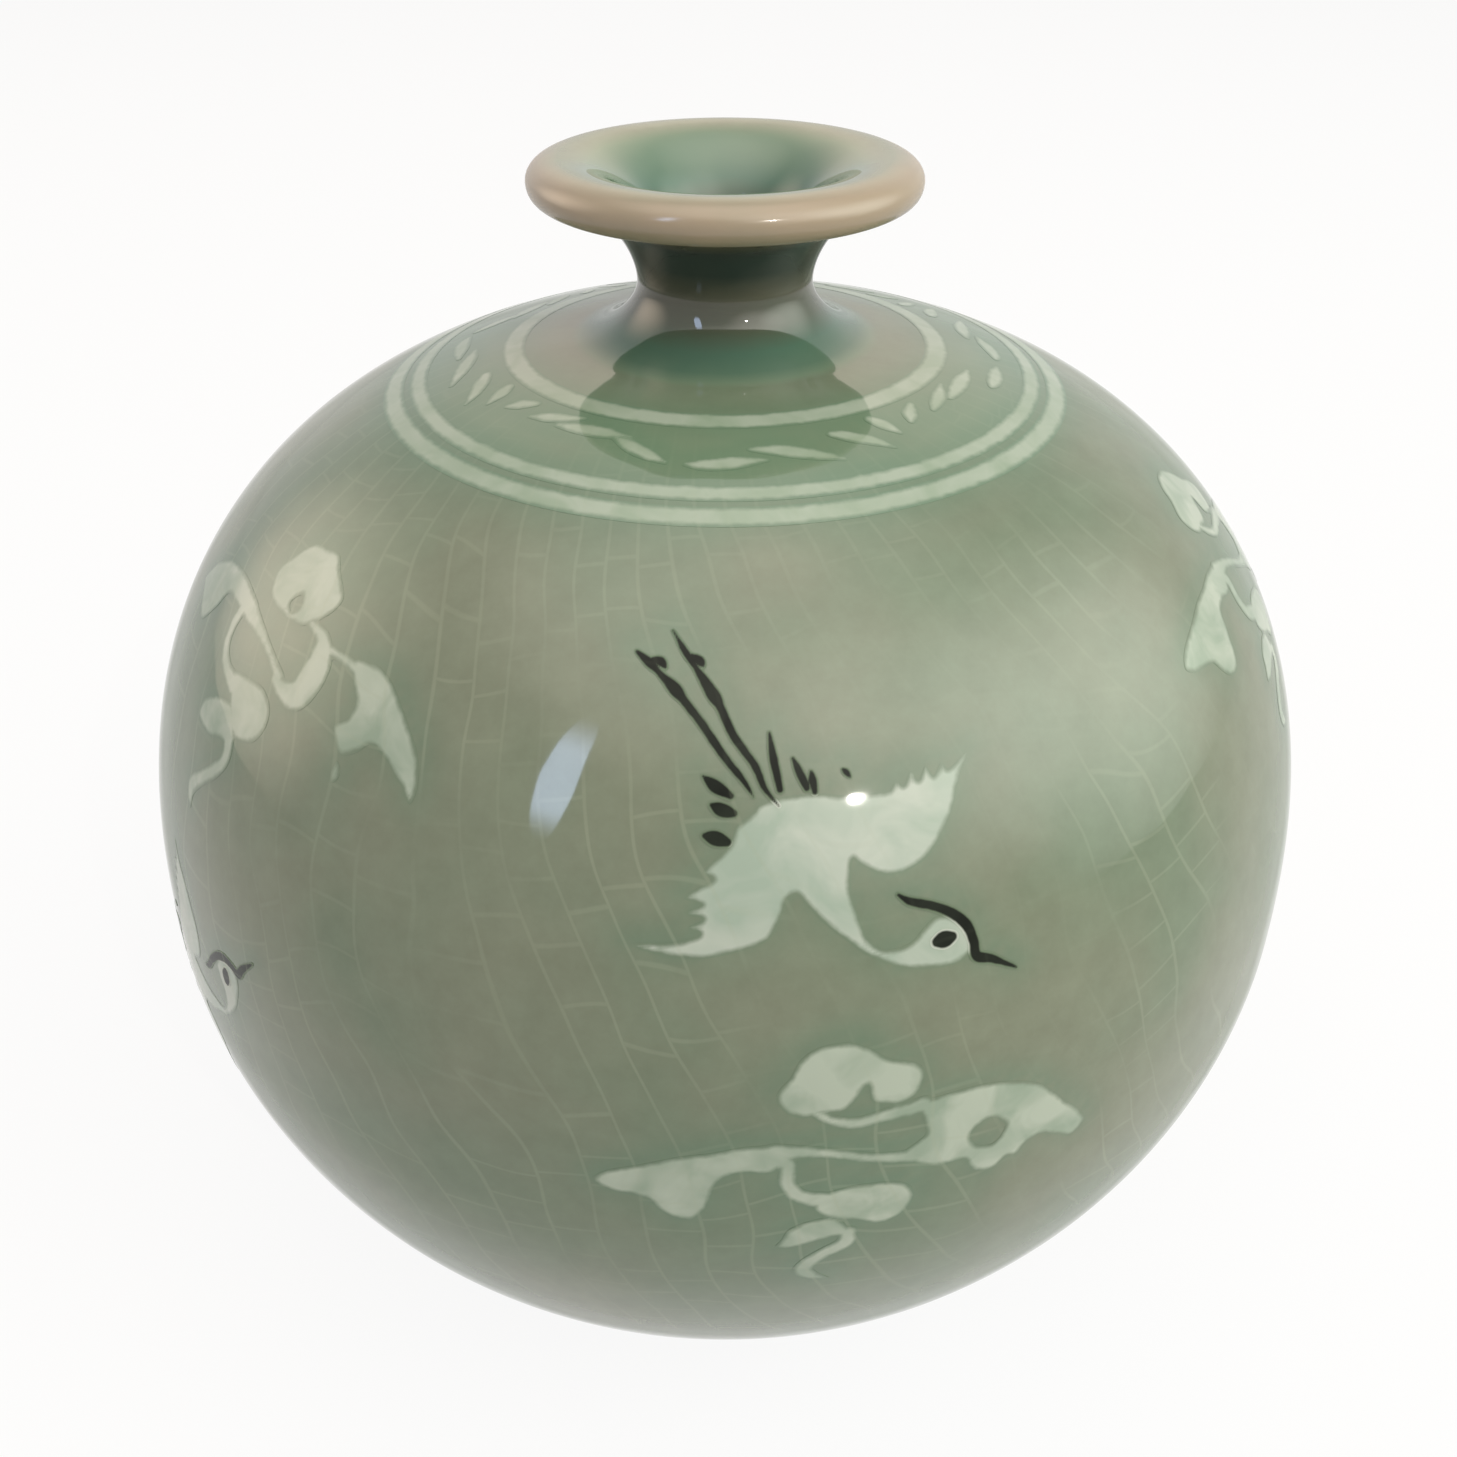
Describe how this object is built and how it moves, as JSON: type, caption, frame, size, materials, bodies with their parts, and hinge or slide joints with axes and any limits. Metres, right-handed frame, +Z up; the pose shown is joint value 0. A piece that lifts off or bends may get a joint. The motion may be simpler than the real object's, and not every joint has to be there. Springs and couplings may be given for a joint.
{
  "type": "celadon vase",
  "caption": "Globular celadon vase with a narrow neck and a rolled lip, inlaid under a clear crackled glaze with white and black slip cranes, clouds, a leaf garland and ring lines.",
  "frame": {"origin": "centre of the foot ring's underside, on the surface that the vase stands on", "axes": "+Z up along the axis of the throw; -Y towards the front, where a crane flies down to the right above a cloud"},
  "size_m": [0.15, 0.15, 0.1529],
  "materials": {
    "celadon_glazed_stoneware": "clear grey-green celadon glaze with a fine crackle over grey stoneware",
    "white_slip": "white slip inlay under the celadon glaze",
    "black_slip": "black iron slip inlay under the celadon glaze"
  },
  "bodies": {
    "root": {"vase_body": "celadon_glazed_stoneware", "shoulder_ring_inner": "white_slip", "shoulder_ring_middle": "white_slip", "shoulder_ring_outer": "white_slip", "garland_leaf_1_1": "white_slip", "garland_leaf_1_2": "white_slip", "garland_leaf_1_3": "white_slip", "garland_leaf_1_4": "white_slip", "garland_leaf_1_5": "white_slip", "garland_leaf_1_6": "white_slip", "garland_leaf_1_7": "white_slip", "garland_leaf_2_1": "white_slip", "garland_leaf_2_2": "white_slip", "garland_leaf_2_3": "white_slip", "garland_leaf_2_4": "white_slip", "garland_leaf_2_5": "white_slip", "garland_leaf_2_6": "white_slip", "garland_leaf_3_1": "white_slip", "garland_leaf_3_2": "white_slip", "garland_leaf_3_3": "white_slip", "garland_leaf_3_4": "white_slip", "garland_leaf_3_5": "white_slip", "garland_leaf_3_6": "white_slip", "garland_leaf_4_1": "white_slip", "garland_leaf_4_2": "white_slip", "garland_leaf_4_3": "white_slip", "garland_leaf_4_4": "white_slip", "garland_leaf_4_5": "white_slip", "garland_leaf_4_6": "white_slip", "crane_1_body": "white_slip", "cloud_1": "white_slip", "crane_2_body": "white_slip", "cloud_2": "white_slip", "crane_3_body": "white_slip", "cloud_3": "white_slip", "crane_4_body": "white_slip", "cloud_4": "white_slip", "crane_5_body": "white_slip", "cloud_5": "white_slip", "crane_6_body": "white_slip", "cloud_6": "white_slip", "crane_1_crest_and_beak": "black_slip", "crane_1_eye": "black_slip", "crane_1_legs": "black_slip", "crane_2_crest_and_beak": "black_slip", "crane_2_eye": "black_slip", "crane_2_legs": "black_slip", "crane_3_crest_and_beak": "black_slip", "crane_3_eye": "black_slip", "crane_3_legs": "black_slip", "crane_4_crest_and_beak": "black_slip", "crane_4_eye": "black_slip", "crane_4_legs": "black_slip", "crane_5_crest_and_beak": "black_slip", "crane_5_eye": "black_slip", "crane_5_legs": "black_slip", "crane_6_crest_and_beak": "black_slip", "crane_6_eye": "black_slip", "crane_6_legs": "black_slip"}
  },
  "joints": []
}
